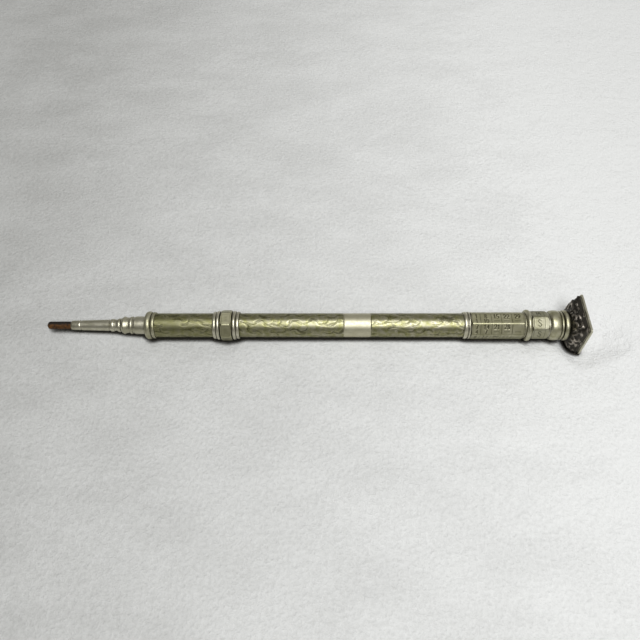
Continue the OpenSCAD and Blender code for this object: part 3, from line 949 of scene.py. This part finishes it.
def lying_width(x):
    """Half the pencil's width at any station, with its steps smoothed as a cloth would."""
    stations, half_widths = np.array(OUTLINE).T
    fine = np.linspace(-80, 90, 1701)
    outline = np.interp(fine, stations + MOUTH_X, half_widths)
    kernel = np.exp(-((np.arange(-20, 21) / 9) ** 2))
    outline = np.convolve(np.pad(outline, 20, mode="edge"), kernel / kernel.sum(), mode="valid")
    return np.interp(x, fine, outline)


def cloth_height(x, y):
    """Height of the cloth: it follows the pencil's underside, with long low folds beyond."""
    width = lying_width(x)
    bed = SINK - np.minimum(width, PLATE_HALF)
    reach_y = np.where(y < 0, 2.0 + 0.83 * width, 1.0 + 0.65 * width)
    near = np.exp(-((y / reach_y) ** 4))
    folds = 0.5 * np.sin(0.021 * x - 0.034 * y + 1.0) + 0.35 * np.sin(0.043 * x + 0.05 * y)
    return CLOTH_LEVEL + near * (bed - CLOTH_LEVEL) + folds * (1 - np.exp(-((y / 28) ** 2)))


def cloth():
    """A soft cloth that the pencil sinks into a little along its whole length."""
    n = CLOTH_POINTS
    side = np.linspace(-1, 1, n)
    # The points crowd near the pencil and spread out towards the edges, far out of sight.
    side = 160 * side + 740 * np.sign(side) * np.abs(side) ** 7
    x, y = np.meshgrid(side, side, indexing="ij")
    verts = np.stack([x, y, cloth_height(x, y)], -1).reshape(-1, 3)
    mesh = bpy.data.meshes.new("cloth")
    mesh.from_pydata((verts * MM).tolist(), [], grid_faces(n, n, closed=False))
    mesh.materials.append(cloth_finish())
    mesh.polygons.foreach_set("use_smooth", [True] * len(mesh.polygons))
    floor = bpy.data.objects.new("cloth", mesh)
    bpy.context.scene.collection.objects.link(floor)


cloth()


def softbox(name, place, aim, width, height, power, color):
    """A rectangular lamp at a place, aimed at a point; both are in metres."""
    data = bpy.data.lights.new(name, "AREA")
    data.shape = "RECTANGLE"
    data.size = width
    data.size_y = height
    data.energy = power
    data.color = color
    lamp = bpy.data.objects.new(name, data)
    bpy.context.scene.collection.objects.link(lamp)
    lamp.location = place
    lamp.rotation_mode = "QUATERNION"
    lamp.rotation_quaternion = (Vector(aim) - Vector(place)).to_track_quat("-Z", "Y")


softbox(
    "overhead", place=(0.065, -0.22, 0.68), aim=(0.01, 0, 0), width=0.25, height=0.68, power=4.7,
    color=(0.975, 0.985, 1.0),
)


def world():
    """An even room, brighter behind the pencil and to its right."""
    scene = bpy.context.scene
    scene.world = bpy.data.worlds.new("room")
    scene.world.use_nodes = True
    tree = scene.world.node_tree
    place = tree.nodes.new("ShaderNodeTexCoord")
    split = tree.nodes.new("ShaderNodeSeparateXYZ")
    tree.links.new(place.outputs["Generated"], split.inputs[0])
    levels = []
    for axis, start, end, low, high in (("Y", 0.0, 0.7, 0.28, 0.46), ("X", -0.3, 0.1, 0.55, 1.0)):
        ramp = tree.nodes.new("ShaderNodeMapRange")
        ramp.inputs["From Min"].default_value = start
        ramp.inputs["From Max"].default_value = end
        ramp.inputs["To Min"].default_value = low
        ramp.inputs["To Max"].default_value = high
        tree.links.new(split.outputs[axis], ramp.inputs["Value"])
        levels.append(ramp.outputs["Result"])
    level = tree.nodes.new("ShaderNodeMath")
    level.operation = "MULTIPLY"
    tree.links.new(levels[0], level.inputs[0])
    tree.links.new(levels[1], level.inputs[1])
    background = tree.nodes["Background"]
    background.inputs["Color"].default_value = (1, 0.985, 0.94, 1)
    tree.links.new(level.outputs[0], background.inputs["Strength"])


world()

# ---- Camera ----

CAM_ELEVATION = math.radians(56)
CAM_YAW = math.radians(-1.5)
CAM_DISTANCE = 155.0
CAM_TARGET_X = 1.85
SENSOR = 36.0
FOCAL = 34.9
AXIS_DROP = 0.0083


def camera():
    """Looks down at the pencil from the front, with the pencil level in the picture."""
    data = bpy.data.cameras.new("camera")
    data.lens = FOCAL
    data.sensor_width = SENSOR
    data.shift_y = AXIS_DROP
    data.clip_start = 0.005
    cam = bpy.data.objects.new("camera", data)
    bpy.context.scene.collection.objects.link(cam)
    back = Vector(
        (
            -math.sin(CAM_YAW) * math.cos(CAM_ELEVATION),
            -math.cos(CAM_YAW) * math.cos(CAM_ELEVATION),
            math.sin(CAM_ELEVATION),
        )
    )
    axis = Vector((1, 0, 0))
    right = (axis - axis.dot(back) * back).normalized()
    up = back.cross(right)
    turn = Matrix((right, up, back)).transposed()
    cam.matrix_world = Matrix.Translation(
        (Vector((CAM_TARGET_X, 0, 0)) + back * CAM_DISTANCE) * MM
    ) @ turn.to_4x4()
    bpy.context.scene.camera = cam


camera()
bpy.context.scene.view_settings.view_transform = "Standard"
